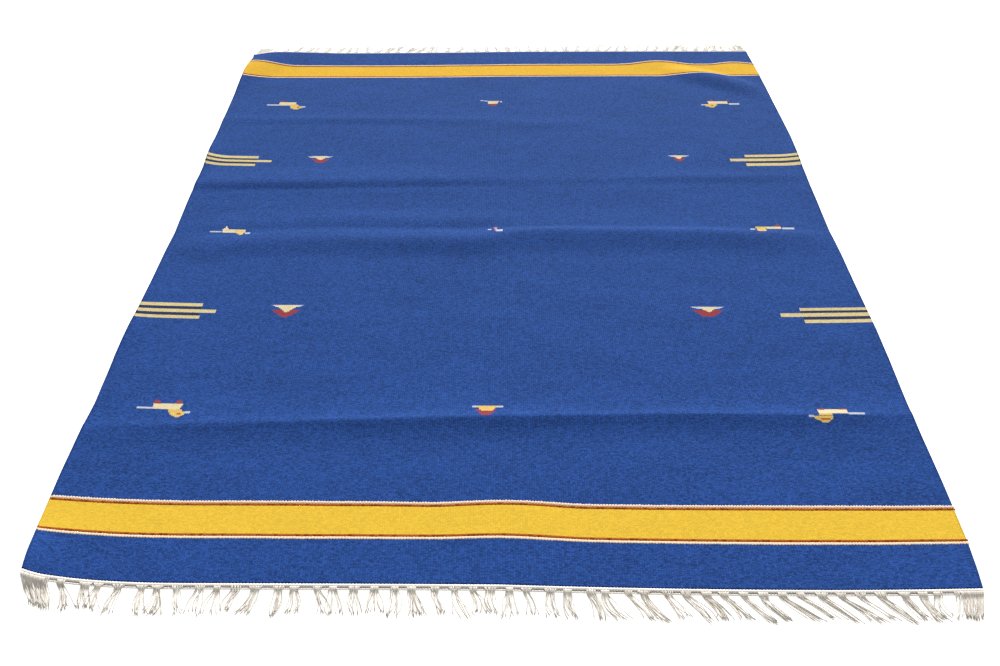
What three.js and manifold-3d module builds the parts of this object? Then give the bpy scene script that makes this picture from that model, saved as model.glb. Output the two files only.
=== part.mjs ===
// Kilim rug lying flat: one flat-woven cloth, and at each short end a white heading with its warp fringe.
// Millimetres, +Z up. X runs across the rug and Y along it, from the near end to the far end.
import * as THREE from 'three';
import { mergeVertices } from 'three/addons/utils/BufferGeometryUtils.js';
import Module from 'manifold-3d';

const wasm = await Module();
wasm.setup();

const clothWidth = 1400;
const clothLength = 2000;
const clothThick = 4;
const widestCell = 90; // longest step along the cloth between two lines of its mesh
const closestCell = 10;

const headingDeep = 13; // from the cloth's edge outwards
const headingThick = 3;
const headingGap = 0.3;

const bundlesPerEnd = 50;
const sideInset = 8; // from the selvedge to the middle of the outermost bundle
const rootJitter = 3; // how unevenly the bundles are spaced, and their strands lean and bend
const leanJitter = 2.4;
const bendJitter = 4;
const strandsPerBundle = 3;
const strandPitch = 3.6; // between the roots of one bundle
const strandSpread = 1.6; // how much further apart their tips lie
const outerShorter = 2; // how much shorter the outer strands of a bundle may be
const rootWidth = 2.6;
const tipWidth = 2.2;
const strandHigh = 2.1;
const rootDeep = 3; // how far a strand reaches into the heading
const rootLift = 0.45; // its underside there, above the heading's
const floorRun = 9; // from the heading to where a strand comes down to the floor
const steepestDrop = 1.1;
const shortestStrand = 32;
const longestStrand = 44;

const scatter = { step: 12.9898, start: 4.1, scale: 43758.5453 };
const seedsPerBundle = 10;
const seedsPerEnd = 1000;

const blueWool = { color: 0x32549a, roughness: 0.95, metalness: 0 };
const whiteCotton = { color: 0xe6dfd2, roughness: 0.9, metalness: 0 };

// The selvedges: their distance from the rug's middle line
const selvedges = [
  { along: -1000, left: 690, right: 689.5 },
  { along: -965, left: 694.5, right: 693 },
  { along: -900, left: 701, right: 697 },
  { along: -780, left: 703.5, right: 699 },
  { along: -690, left: 703, right: 699 },
  { along: -600, left: 699.5, right: 698 },
  { along: -460, left: 702.5, right: 702 },
  { along: -370, left: 702, right: 703 },
  { along: -200, left: 698.5, right: 701 },
  { along: -100, left: 697.5, right: 700.5 },
  { along: -10, left: 695, right: 697 },
  { along: 130, left: 698.5, right: 699.5 },
  { along: 290, left: 697, right: 701 },
  { along: 450, left: 702, right: 706 },
  { along: 640, left: 703, right: 701 },
  { along: 745, left: 704, right: 698.5 },
  { along: 860, left: 703, right: 694.5 },
  { along: 950, left: 696, right: 690.5 },
  { along: 1000, left: 700, right: 688.5 },
];

// How far the weft rows lean towards the far end on each side of the middle
const weftLean = [
  { along: -1000, left: 1.5, right: -9.2 },
  { along: -910, left: 2.6, right: -8.5 },
  { along: -830, left: 4, right: -4.8 },
  { along: -600, left: 1, right: -6 },
  { along: -300, left: 1, right: -5 },
  { along: 0, left: -4, right: 1 },
  { along: 350, left: -5, right: 4 },
  { along: 650, left: -7, right: 5 },
  { along: 860, left: -9, right: 4 },
  { along: 1000, left: -11, right: 4 },
];

// How far they rise further, close to each selvedge
const weftRise = [
  { along: -1000, left: 17, right: 4 },
  { along: -830, left: 12, right: 1 },
  { along: -300, left: 8, right: 4 },
  { along: 350, left: 7, right: 5 },
  { along: 900, left: 3, right: 4 },
  { along: 1000, left: -12, right: 1 },
];
const leanReach = 480;
const riseReach = 240;

// Long creases. Each has a crest line by x, y and lift, and a cross-section: the share of the lift at a
// distance from the crest, on the left and on the right of the stretch where the one passes into the other.
const creases = {
  near: {
    changeFrom: -200,
    changeTo: 200,
    line: [
      { x: -720, y: -651, lift: 1.5 },
      { x: -640, y: -652, lift: 3.2 },
      { x: -560, y: -651, lift: 4.4 },
      { x: -450, y: -646, lift: 5.9 },
      { x: -320, y: -641, lift: 7 },
      { x: -200, y: -638, lift: 7.9 },
      { x: -80, y: -632, lift: 8.8 },
      { x: 40, y: -627, lift: 8.9 },
      { x: 160, y: -624, lift: 8.9 },
      { x: 280, y: -621, lift: 9 },
      { x: 400, y: -620, lift: 8.3 },
      { x: 500, y: -620, lift: 7.5 },
      { x: 600, y: -618, lift: 6.1 },
      { x: 720, y: -615, lift: 2.9 },
    ],
    section: [
      { away: -80, left: 0, right: 0 },
      { away: -62, left: 0.01, right: 0.06 },
      { away: -48, left: 0.07, right: 0.16 },
      { away: -36, left: 0.19, right: 0.31 },
      { away: -26, left: 0.35, right: 0.5 },
      { away: -17, left: 0.55, right: 0.71 },
      { away: -9, left: 0.78, right: 0.89 },
      { away: -3, left: 0.95, right: 0.98 },
      { away: 3, left: 0.98, right: 0.85 },
      { away: 9, left: 0.79, right: 0.67 },
      { away: 17, left: 0.56, right: 0.49 },
      { away: 27, left: 0.39, right: 0.33 },
      { away: 40, left: 0.28, right: 0.2 },
      { away: 56, left: 0.18, right: 0.08 },
      { away: 80, left: 0, right: 0 },
    ],
  },
  middle: {
    changeFrom: -60,
    changeTo: 40,
    line: [
      { x: -720, y: -36, lift: 0 },
      { x: -640, y: -29, lift: 3.5 },
      { x: -560, y: -22, lift: 6.2 },
      { x: -450, y: -11, lift: 6.3 },
      { x: -350, y: -8, lift: 6.5 },
      { x: -250, y: -10, lift: 8.4 },
      { x: -150, y: -11, lift: 9.6 },
      { x: -80, y: -11, lift: 9.8 },
      { x: -20, y: -9, lift: 9.8 },
      { x: 40, y: -8, lift: 9.5 },
      { x: 120, y: -4, lift: 9.5 },
      { x: 220, y: -5, lift: 9.4 },
      { x: 320, y: -6, lift: 9.9 },
      { x: 420, y: -8, lift: 9.6 },
      { x: 500, y: -13, lift: 8.6 },
      { x: 580, y: -18, lift: 7.1 },
      { x: 650, y: -17, lift: 4.2 },
      { x: 720, y: -14, lift: 0.4 },
    ],
    section: [
      { away: -110, left: 0, right: 0 },
      { away: -85, left: 0.15, right: 0.05 },
      { away: -65, left: 0.52, right: 0.22 },
      { away: -48, left: 0.82, right: 0.47 },
      { away: -34, left: 0.95, right: 0.69 },
      { away: -22, left: 0.89, right: 0.87 },
      { away: -12, left: 0.73, right: 0.98 },
      { away: -4, left: 0.58, right: 0.98 },
      { away: 4, left: 0.4, right: 0.87 },
      { away: 12, left: 0.24, right: 0.63 },
      { away: 22, left: 0.17, right: 0.39 },
      { away: 34, left: 0.27, right: 0.3 },
      { away: 48, left: 0.38, right: 0.23 },
      { away: 65, left: 0.38, right: 0.15 },
      { away: 85, left: 0.18, right: 0.08 },
      { away: 110, left: 0, right: 0 },
    ],
  },
  far: {
    changeFrom: -200,
    changeTo: 200,
    line: [
      { x: -720, y: 197, lift: 4.3 },
      { x: -640, y: 198, lift: 6.1 },
      { x: -560, y: 200, lift: 6.7 },
      { x: -480, y: 202, lift: 6.4 },
      { x: -400, y: 205, lift: 5.6 },
      { x: -300, y: 210, lift: 5.4 },
      { x: -200, y: 213, lift: 5.3 },
      { x: -100, y: 217, lift: 4.2 },
      { x: 0, y: 219, lift: 2.4 },
      { x: 100, y: 221, lift: 1.6 },
      { x: 200, y: 224, lift: 1.5 },
      { x: 300, y: 227, lift: 2 },
      { x: 400, y: 229, lift: 2.7 },
      { x: 500, y: 231, lift: 2.8 },
      { x: 600, y: 234, lift: 2.5 },
      { x: 720, y: 239, lift: 1 },
    ],
    section: [
      { away: -60, left: 0, right: 0 },
      { away: -42, left: 0.14, right: 0.12 },
      { away: -28, left: 0.17, right: 0.13 },
      { away: -18, left: 0.15, right: 0.06 },
      { away: -10, left: 0.38, right: 0.24 },
      { away: -3, left: 0.64, right: 0.5 },
      { away: 4, left: 0.84, right: 0.77 },
      { away: 12, left: 0.96, right: 0.98 },
      { away: 22, left: 0.95, right: 0.88 },
      { away: 36, left: 0.78, right: 0.5 },
      { away: 54, left: 0.52, right: 0.15 },
      { away: 76, left: 0.2, right: 0.03 },
      { away: 104, left: 0, right: 0 },
    ],
  },
};

// Soft folds. Each crest runs from the x of its left end to that of its right end, through the three
// values of y, and stands off the floor by the three lifts; the runs are its two slopes.
const folds = {
  farRipple: { leftX: -720, rightX: 100, leftY: 549, midY: 555, rightY: 543,
    leftLift: 1.1, midLift: 3, rightLift: 0, nearRun: 27, farRun: 27 },
  farRippleRight: { leftX: -60, rightX: 260, leftY: 515, midY: 530, rightY: 535,
    leftLift: 0, midLift: 2.2, rightLift: 0, nearRun: 36, farRun: 42 },
  rightPucker: { leftX: 430, rightX: 700, leftY: 870, midY: 812, rightY: 715,
    leftLift: 0, midLift: 11, rightLift: 0, nearRun: 80, farRun: 60 },
  rightBump: { leftX: 303, rightX: 501, leftY: 908, midY: 952, rightY: 878,
    leftLift: 0, midLift: 1.8, rightLift: 0, nearRun: 105, farRun: 60 },
  leftCorner: { leftX: -720, rightX: -467, leftY: 830, midY: 1000, rightY: 991,
    leftLift: 9.1, midLift: 5.1, rightLift: 0, nearRun: 164, farRun: 118 },
};

// Places where the wefts bulge towards the far end: the middle of each, its reach both ways and its shift
const bulges = [
  { across: 15, along: -845, wide: 125, long: 150, shift: 6.5 },
  { across: -700, along: 912, wide: 132, long: 90, shift: 21 },
  { across: 439, along: 913, wide: 102, long: 85, shift: 20 },
  { across: 645, along: 907, wide: 70, long: 60, shift: 13.8 },
];

// Places where a selvedge curls up a little off the floor
const curls = [
  { side: -1, along: -1000, reach: 150, lift: 8, inward: 140 },
  { side: -1, along: -1000, reach: 120, lift: 9, inward: 45 },
  { side: -1, along: -380, reach: 110, lift: 3, inward: 50 },
  { side: -1, along: 352, reach: 120, lift: 8, inward: 55 },
  { side: 1, along: 350, reach: 110, lift: 3.5, inward: 50 },
];

// Columns of the cloth's mesh, closer where the corners and the bumps are: each stretch's end and its cells
const columnStretches = [
  { to: -636, cells: 4 },
  { to: -455, cells: 5 },
  { to: 130, cells: 6 },
  { to: 300, cells: 2 },
  { to: 700, cells: 13 },
];

// Lean of the fringe along each end: how far sideways the tips lie from their roots
const nearLean = [
  { across: -700, lean: 6 },
  { across: -617, lean: 4 },
  { across: -560, lean: -11 },
  { across: -480, lean: -5 },
  { across: -415, lean: -2 },
  { across: -350, lean: -17 },
  { across: -318, lean: 2 },
  { across: -262, lean: 15 },
  { across: -165, lean: 0 },
  { across: -60, lean: 18 },
  { across: -5, lean: 3 },
  { across: 120, lean: 6 },
  { across: 165, lean: 30 },
  { across: 230, lean: 20 },
  { across: 370, lean: 36 },
  { across: 450, lean: 41 },
  { across: 520, lean: 39 },
  { across: 590, lean: 25 },
  { across: 650, lean: 8 },
  { across: 700, lean: -3 },
];
const farLean = [
  { across: -700, lean: 8 },
  { across: -420, lean: 2 },
  { across: -260, lean: 16 },
  { across: 0, lean: -6 },
  { across: 240, lean: 9 },
  { across: 480, lean: 14 },
  { across: 700, lean: -4 },
];

// Reads a column of a table, on the straight line between its rows
function read(table, key, at, column) {
  const last = table.length - 1;
  if (at <= table[0][key]) return table[0][column];
  if (at >= table[last][key]) return table[last][column];
  const i = table.findIndex((row) => row[key] > at);
  const share = (at - table[i - 1][key]) / (table[i][key] - table[i - 1][key]);
  return table[i - 1][column] + share * (table[i][column] - table[i - 1][column]);
}

// Reads a column on a smooth curve through the table's rows
function smoothRead(table, key, at, column) {
  const last = table.length - 1;
  if (at <= table[0][key]) return table[0][column];
  if (at >= table[last][key]) return table[last][column];
  const i = table.findIndex((row) => row[key] > at);
  const step = table[i][key] - table[i - 1][key];
  const riseAt = (k) => {
    if (k === 0 || k === last) return 0;
    return (table[k + 1][column] - table[k - 1][column]) / (table[k + 1][key] - table[k - 1][key]);
  };
  const share = (at - table[i - 1][key]) / step;
  const rest = 1 - share;
  const level = rest * rest * (1 + 2 * share) * table[i - 1][column]
    + share * share * (1 + 2 * rest) * table[i][column];
  return level + share * rest * step * (rest * riseAt(i - 1) - share * riseAt(i));
}

// The parabola through three values, at the start, middle and end of a stretch
function throughThree(first, middle, last, share) {
  const rest = 1 - share;
  return first * rest * (rest - share) + middle * 4 * share * rest + last * share * (share - rest);
}

// A value between 0 and 1 for each whole number, scattered but the same every time
function chance(n) {
  const value = Math.sin(n * scatter.step + scatter.start) * scatter.scale;
  return value - Math.floor(value);
}

function softBump(distance) {
  const inside = Math.max(0, 1 - distance * distance);
  return inside * inside;
}

function foldLift(fold, x, y) {
  const share = (x - fold.leftX) / (fold.rightX - fold.leftX);
  if (share <= 0 || share >= 1) return 0;
  const crest = throughThree(fold.leftY, fold.midY, fold.rightY, share);
  const lift = throughThree(fold.leftLift, fold.midLift, fold.rightLift, share);
  const away = y - crest;
  return lift * softBump(away / (away < 0 ? fold.nearRun : fold.farRun));
}

function creaseLift(crease, x, y) {
  const away = y - smoothRead(crease.line, 'x', x, 'y');
  const onRight = (x - crease.changeFrom) / (crease.changeTo - crease.changeFrom);
  const left = smoothRead(crease.section, 'away', away, 'left');
  const right = smoothRead(crease.section, 'away', away, 'right');
  const share = left + Math.min(1, Math.max(0, onRight)) * (right - left);
  return smoothRead(crease.line, 'x', x, 'lift') * share;
}

function curlLift(curl, x, y) {
  const inward = clothWidth / 2 - curl.side * x;
  const share = Math.max(0, 1 - Math.max(0, inward) / curl.inward);
  return curl.lift * share * share * softBump((y - curl.along) / curl.reach);
}

// Height of the cloth's underside over the floor
function liftAt(x, y) {
  const high = Math.max(
    ...Object.values(creases).map((crease) => creaseLift(crease, x, y)),
    ...Object.values(folds).map((fold) => foldLift(fold, x, y)),
  );
  return high + curls.reduce((sum, curl) => sum + curlLift(curl, x, y), 0);
}

// Where a point of the weave lies on the floor: across from the middle warp, along from the middle weft
function lieOf(across, along) {
  const side = across < 0 ? 'left' : 'right';
  const offCentre = Math.abs(across);
  const x = across * read(selvedges, 'along', along, side) / (clothWidth / 2);
  const leanShare = 1 - Math.max(0, 1 - offCentre / leanReach) ** 2;
  const riseShare = Math.max(0, 1 - (clothWidth / 2 - offCentre) / riseReach) ** 2;
  const y = along
    + read(weftLean, 'along', along, side) * leanShare
    + read(weftRise, 'along', along, side) * riseShare;
  const pushed = bulges.map((bulge) => bulge.shift
    * softBump((across - bulge.across) / bulge.wide)
    * softBump((along - bulge.along) / bulge.long));
  return { x, y: pushed.reduce((sum, push) => sum + push, y) };
}

// Columns of the cloth's mesh
function columnStations() {
  const stations = [-clothWidth / 2];
  for (const { to, cells } of columnStretches) {
    const from = stations[stations.length - 1];
    for (let cell = 1; cell <= cells; cell += 1) stations.push(from + (to - from) * cell / cells);
  }
  return stations;
}

// Rows of the cloth's mesh: where the outline turns, the sections of each crease and fold, and steps between
function rowStations() {
  const half = clothLength / 2;
  const stations = [...selvedges, ...weftRise].map((row) => row.along);
  for (const { line, section } of Object.values(creases)) {
    const middle = smoothRead(line, 'x', 0, 'y');
    stations.push(...section.map((row) => middle + row.away));
  }
  for (const { midY, nearRun, farRun } of Object.values(folds)) {
    stations.push(midY - nearRun, midY - nearRun / 2, midY, midY + farRun / 2, midY + farRun);
  }
  const sorted = stations.filter((at) => Math.abs(at) <= half).sort((a, b) => a - b);
  const rows = [-half];
  for (const at of sorted) {
    const from = rows[rows.length - 1];
    if (at - from < closestCell) continue;
    const steps = Math.ceil((at - from) / widestCell);
    for (let step = 1; step <= steps; step += 1) rows.push(from + (at - from) * step / steps);
  }
  rows[rows.length - 1] = half;
  return rows;
}

// How far a row of the mesh bends from the weft to keep to the long creases
function creaseBend(across, along) {
  const bends = Object.values(creases).map(({ line }) => {
    const middle = smoothRead(line, 'x', 0, 'y');
    return { at: middle, bend: smoothRead(line, 'x', across, 'y') - middle };
  });
  const lines = [{ at: -clothLength / 2, bend: 0 }, ...bends, { at: clothLength / 2, bend: 0 }];
  return read(lines, 'at', along, 'bend');
}

function bareBox(across, along) {
  const box = new THREE.BoxGeometry(1, 1, 1, across, along, 1);
  box.deleteAttribute('normal');
  box.deleteAttribute('uv');
  return mergeVertices(box);
}

// Moves every corner of a box's grid to the place that a function gives for its column, row and level
function shapeGrid(geometry, columnCount, rowCount, place) {
  const position = geometry.getAttribute('position');
  for (let i = 0; i < position.count; i += 1) {
    const column = Math.round((position.getX(i) + 0.5) * columnCount);
    const row = Math.round((position.getY(i) + 0.5) * rowCount);
    const { x, y, z } = place(column, row, position.getZ(i) > 0);
    position.setXYZ(i, x, y, z);
  }
  return geometry;
}

function clothGeometry() {
  const columns = columnStations();
  const rows = rowStations();
  const grid = bareBox(columns.length - 1, rows.length - 1);
  return shapeGrid(grid, columns.length - 1, rows.length - 1, (column, row, upper) => {
    const across = columns[column];
    const { x, y } = lieOf(across, rows[row] + creaseBend(across, rows[row]));
    return { x, y, z: liftAt(x, y) + (upper ? clothThick : 0) };
  });
}

// The heading: a band woven of the warps alone, parted from the cloth's edge by a hair
function headingGeometry(end) {
  const columns = columnStations();
  return shapeGrid(bareBox(columns.length - 1, 1), columns.length - 1, 1, (column, row, upper) => {
    const { x, y } = lieOf(columns[column], end * clothLength / 2);
    const outward = (row === 1) === (end > 0) ? headingGap + headingDeep : headingGap;
    const placedY = y + end * outward;
    return { x, y: placedY, z: liftAt(x, placedY) + (upper ? headingThick : 0) };
  });
}

// A three-sided strand with a level underside, through its stations. Its width is measured across the
// rug, so that leaning neighbours stay apart.
function strandGeometry(stations, end) {
  const position = [];
  for (const { x, y, z, width } of stations) {
    const side = end * width / 2;
    position.push(x - side, y, z);
    position.push(x + side, y, z);
    position.push(x, y, z + strandHigh);
  }
  const index = [0, 1, 2];
  for (let i = 0; i < stations.length - 1; i += 1) {
    for (let side = 0; side < 3; side += 1) {
      const a = i * 3 + side;
      const b = i * 3 + (side + 1) % 3;
      index.push(a, a + 3, b, b, a + 3, b + 3);
    }
  }
  const tip = (stations.length - 1) * 3;
  index.push(tip, tip + 2, tip + 1);
  const geometry = new THREE.BufferGeometry();
  geometry.setAttribute('position', new THREE.Float32BufferAttribute(position, 3));
  geometry.setIndex(index);
  return geometry;
}

function strandStations(end, bundle, strand, leanTable) {
  const seed = (end > 0 ? seedsPerEnd : 0) + bundle * seedsPerBundle;
  const pitch = (clothWidth - 2 * sideInset) / (bundlesPerEnd - 1);
  const edgeBundle = bundle === 0 || bundle === bundlesPerEnd - 1;
  const jitter = edgeBundle ? 0 : (chance(seed) - 0.5) * rootJitter;
  const place = strand - (strandsPerBundle - 1) / 2;
  const across = -clothWidth / 2 + sideInset + bundle * pitch + jitter + place * strandPitch;
  const root = lieOf(across, end * clothLength / 2);
  const faceY = root.y + end * (headingGap + headingDeep);
  const rootZ = liftAt(root.x, faceY) + rootLift;
  const lean = read(leanTable, 'across', across, 'lean') + (chance(seed + 1) - 0.5) * leanJitter
    + place * strandSpread;
  const bend = (chance(seed + 2) - 0.5) * bendJitter;
  const long = shortestStrand + (longestStrand - shortestStrand) * chance(seed + 3)
    - outerShorter * Math.abs(place) * chance(seed + 4);
  const down = Math.max(floorRun, rootZ / steepestDrop);
  const sideways = lean * long / longestStrand;
  const middle = (down + long) / 2;
  const at = (reach, aside, z, width) => ({ x: root.x + aside, y: faceY + end * reach, z, width });
  return [
    at(-rootDeep, 0, rootZ, rootWidth),
    at(down, sideways * down / long, 0, rootWidth),
    at(middle, sideways * middle / long + bend, 0, (rootWidth + tipWidth) / 2),
    at(long, sideways, 0, tipWidth),
  ];
}

function toSolid(geometry) {
  const vertProperties = new Float32Array(geometry.getAttribute('position').array);
  const triVerts = new Uint32Array(geometry.getIndex().array);
  return new wasm.Manifold(new wasm.Mesh({ numProp: 3, vertProperties, triVerts }));
}

function toGeometry(solid) {
  const { vertProperties, triVerts } = solid.getMesh();
  const geometry = new THREE.BufferGeometry();
  geometry.setAttribute('position', new THREE.BufferAttribute(new Float32Array(vertProperties), 3));
  geometry.setIndex(new THREE.BufferAttribute(new Uint32Array(triVerts), 1));
  return geometry;
}

// A heading and its strands, grown together at the roots
function fringeGeometry(end, leanTable) {
  let solid = toSolid(headingGeometry(end));
  for (let bundle = 0; bundle < bundlesPerEnd; bundle += 1) {
    for (let strand = 0; strand < strandsPerBundle; strand += 1) {
      const stations = strandStations(end, bundle, strand, leanTable);
      solid = solid.add(toSolid(strandGeometry(stations, end)));
    }
  }
  return toGeometry(solid);
}

function namedMesh(name, geometry, finish) {
  geometry.computeVertexNormals();
  const mesh = new THREE.Mesh(geometry, new THREE.MeshStandardMaterial(finish));
  mesh.name = name;
  return mesh;
}

const rug = new THREE.Group();
rug.add(
  namedMesh('rug_cloth', clothGeometry(), blueWool),
  namedMesh('fringe_near', fringeGeometry(-1, nearLean), whiteCotton),
  namedMesh('fringe_far', fringeGeometry(1, farLean), whiteCotton),
);

// The origin is on the floor, at the middle of the whole rug
const extent = new THREE.Box3().setFromObject(rug);
const centre = extent.getCenter(new THREE.Vector3());
rug.position.set(-centre.x, -centre.y, -extent.min.z);

export default rug;
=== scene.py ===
import math
import random

import bpy
import numpy as np
from mathutils import Matrix, Vector


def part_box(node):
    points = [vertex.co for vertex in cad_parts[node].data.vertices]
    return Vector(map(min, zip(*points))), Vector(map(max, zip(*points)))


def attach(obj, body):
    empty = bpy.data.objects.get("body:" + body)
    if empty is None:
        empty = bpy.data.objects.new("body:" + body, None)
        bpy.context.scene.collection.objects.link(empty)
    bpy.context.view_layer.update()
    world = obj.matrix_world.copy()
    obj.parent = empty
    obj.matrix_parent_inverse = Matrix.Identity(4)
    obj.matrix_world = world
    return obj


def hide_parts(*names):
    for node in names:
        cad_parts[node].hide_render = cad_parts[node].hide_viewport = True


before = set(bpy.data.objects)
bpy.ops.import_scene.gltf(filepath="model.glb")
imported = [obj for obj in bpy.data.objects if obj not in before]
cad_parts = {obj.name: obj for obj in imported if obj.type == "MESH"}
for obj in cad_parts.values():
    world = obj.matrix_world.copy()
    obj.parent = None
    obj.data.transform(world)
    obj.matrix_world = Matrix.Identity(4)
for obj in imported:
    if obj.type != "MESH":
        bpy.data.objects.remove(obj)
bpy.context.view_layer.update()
random.seed(11)

# Sizes are in millimetres. "across" counts from the middle warp, "along" from the middle weft
mm = 0.001
cloth = {"wide": 1400, "long": 2000, "thick": 4, "rib": 3.8, "pick": 1.7}
halfWide = cloth["wide"] / 2
halfLong = cloth["long"] / 2

# How far each selvedge lies from the middle line
selvedges = {
    "along": [-1000, -965, -900, -780, -690, -600, -460, -370, -200, -100, -10, 130, 290, 450, 640, 745,
              860, 950, 1000],
    "left": [690, 694.5, 701, 703.5, 703, 699.5, 702.5, 702, 698.5, 697.5, 695, 698.5, 697, 702, 703, 704,
             703, 696, 700],
    "right": [689.5, 693, 697, 699, 699, 698, 702, 703, 701, 700.5, 697, 699.5, 701, 706, 701, 698.5, 694.5,
              690.5, 688.5],
}
# How far the wefts lean on each side, and how far they rise further close to the selvedge
weftLean = {
    "along": [-1000, -910, -830, -600, -300, 0, 350, 650, 860, 1000],
    "left": [1.5, 2.6, 4, 1, 1, -4, -5, -7, -9, -11],
    "right": [-9.2, -8.5, -4.8, -6, -5, 1, 4, 5, 4, 4],
    "reach": 480,
}
weftRise = {
    "along": [-1000, -830, -300, 350, 900, 1000],
    "left": [17, 12, 8, 7, 3, -12],
    "right": [4, 1, 4, 5, 4, 1],
    "reach": 240,
}

# Long creases: the line of each by x, y and lift, and its cross-section left and right of a change
creases = {
    "near": {
        "x": (-720, -640, -560, -450, -320, -200, -80, 40, 160, 280, 400, 500, 600, 720),
        "y": (-651, -652, -651, -646, -641, -638, -632, -627, -624, -621, -620, -620, -618, -615),
        "lift": (1.5, 3.2, 4.4, 5.9, 7, 7.9, 8.8, 8.9, 8.9, 9, 8.3, 7.5, 6.1, 2.9),
        "away": (-80, -62, -48, -36, -26, -17, -9, -3, 3, 9, 17, 27, 40, 56, 80),
        "left": (0, 0.01, 0.07, 0.19, 0.35, 0.55, 0.78, 0.95, 0.98, 0.79, 0.56, 0.39, 0.28, 0.18, 0),
        "right": (0, 0.06, 0.16, 0.31, 0.5, 0.71, 0.89, 0.98, 0.85, 0.67, 0.49, 0.33, 0.2, 0.08, 0),
        "change": (-200, 200),
    },
    "middle": {
        "x": (-720, -640, -560, -450, -350, -250, -150, -80, -20, 40, 120, 220, 320, 420, 500, 580, 650, 720),
        "y": (-36, -29, -22, -11, -8, -10, -11, -11, -9, -8, -4, -5, -6, -8, -13, -18, -17, -14),
        "lift": (0, 3.5, 6.2, 6.3, 6.5, 8.4, 9.6, 9.8, 9.8, 9.5, 9.5, 9.4, 9.9, 9.6, 8.6, 7.1, 4.2, 0.4),
        "away": (-110, -85, -65, -48, -34, -22, -12, -4, 4, 12, 22, 34, 48, 65, 85, 110),
        "left": (0, 0.15, 0.52, 0.82, 0.95, 0.89, 0.73, 0.58, 0.4, 0.24, 0.17, 0.27, 0.38, 0.38, 0.18, 0),
        "right": (0, 0.05, 0.22, 0.47, 0.69, 0.87, 0.98, 0.98, 0.87, 0.63, 0.39, 0.3, 0.23, 0.15, 0.08, 0),
        "change": (-60, 40),
    },
    "far": {
        "x": (-720, -640, -560, -480, -400, -300, -200, -100, 0, 100, 200, 300, 400, 500, 600, 720),
        "y": (197, 198, 200, 202, 205, 210, 213, 217, 219, 221, 224, 227, 229, 231, 234, 239),
        "lift": (4.3, 6.1, 6.7, 6.4, 5.6, 5.4, 5.3, 4.2, 2.4, 1.6, 1.5, 2, 2.7, 2.8, 2.5, 1),
        "away": (-60, -42, -28, -18, -10, -3, 4, 12, 22, 36, 54, 76, 104),
        "left": (0, 0.14, 0.17, 0.15, 0.38, 0.64, 0.84, 0.96, 0.95, 0.78, 0.52, 0.2, 0),
        "right": (0, 0.12, 0.13, 0.06, 0.24, 0.5, 0.77, 0.98, 0.88, 0.5, 0.15, 0.03, 0),
        "change": (-200, 200),
    },
}
# Soft folds: x of the two ends, y and height of the crest at its start, middle and end, its two slopes
folds = {
    "farRipple": {"x": (-720, 100), "y": (549, 555, 543), "lift": (1.1, 3, 0), "run": (27, 27)},
    "farRippleRight": {"x": (-60, 260), "y": (515, 530, 535), "lift": (0, 2.2, 0), "run": (36, 42)},
    "rightPucker": {"x": (430, 700), "y": (870, 812, 715), "lift": (0, 11, 0), "run": (80, 60)},
    "rightBump": {"x": (303, 501), "y": (908, 952, 878), "lift": (0, 1.8, 0), "run": (105, 60)},
    "leftCorner": {"x": (-720, -467), "y": (830, 1000, 991), "lift": (9.1, 5.1, 0), "run": (164, 118)},
}
# Places where the wefts bulge towards the far end
bulges = [
    {"across": 15, "along": -845, "wide": 125, "long": 150, "shift": 6.5},
    {"across": -700, "along": 912, "wide": 132, "long": 90, "shift": 21},
    {"across": 439, "along": 913, "wide": 102, "long": 85, "shift": 20},
    {"across": 645, "along": 907, "wide": 70, "long": 60, "shift": 13.8},
]
# Places where a selvedge curls up
curls = [
    {"side": -1, "along": -1000, "reach": 150, "lift": 8, "inward": 140},
    {"side": -1, "along": -1000, "reach": 120, "lift": 9, "inward": 45},
    {"side": -1, "along": -380, "reach": 110, "lift": 3, "inward": 50},
    {"side": -1, "along": 352, "reach": 120, "lift": 8, "inward": 55},
    {"side": 1, "along": 350, "reach": 110, "lift": 3.5, "inward": 50},
]


# A curve through a start, a middle and an end value
def throughThree(values, share):
    first, middle, last = values
    rest = 1 - share
    return first * rest * (rest - share) + middle * 4 * share * rest + last * share * (share - rest)


# A smooth curve through a table's values
def smoothRead(places, values, at):
    places, values = np.array(places, float), np.array(values, float)
    rise = np.zeros(len(places))
    rise[1:-1] = (values[2:] - values[:-2]) / (places[2:] - places[:-2])
    k = np.clip(np.searchsorted(places, at, side="right") - 1, 0, len(places) - 2)
    step = places[k + 1] - places[k]
    share = np.clip((at - places[k]) / step, 0, 1)
    rest = 1 - share
    level = rest**2 * (1 + 2 * share) * values[k] + share**2 * (1 + 2 * rest) * values[k + 1]
    return level + share * rest * step * (rest * rise[k] - share * rise[k + 1])


# 1 in the middle, and nothing from a distance of 1 on
def softBump(distance):
    return np.maximum(0, 1 - distance * distance) ** 2


def foldLift(fold, x, y):
    share = (x - fold["x"][0]) / (fold["x"][1] - fold["x"][0])
    away = y - throughThree(fold["y"], share)
    high = throughThree(fold["lift"], share) * softBump(away / np.where(away < 0, *fold["run"]))
    return np.where((share <= 0) | (share >= 1), 0, high)


def creaseLift(crease, x, y):
    away = y - smoothRead(crease["x"], crease["y"], x)
    start, stop = crease["change"]
    onRight = np.clip((x - start) / (stop - start), 0, 1)
    left, right = (smoothRead(crease["away"], crease[side], away) for side in ("left", "right"))
    return smoothRead(crease["x"], crease["lift"], x) * (left + onRight * (right - left))


def curlLift(curl, x, y):
    share = np.maximum(0, 1 - np.maximum(0, halfWide - curl["side"] * x) / curl["inward"])
    return curl["lift"] * share**2 * softBump((y - curl["along"]) / curl["reach"])


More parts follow.
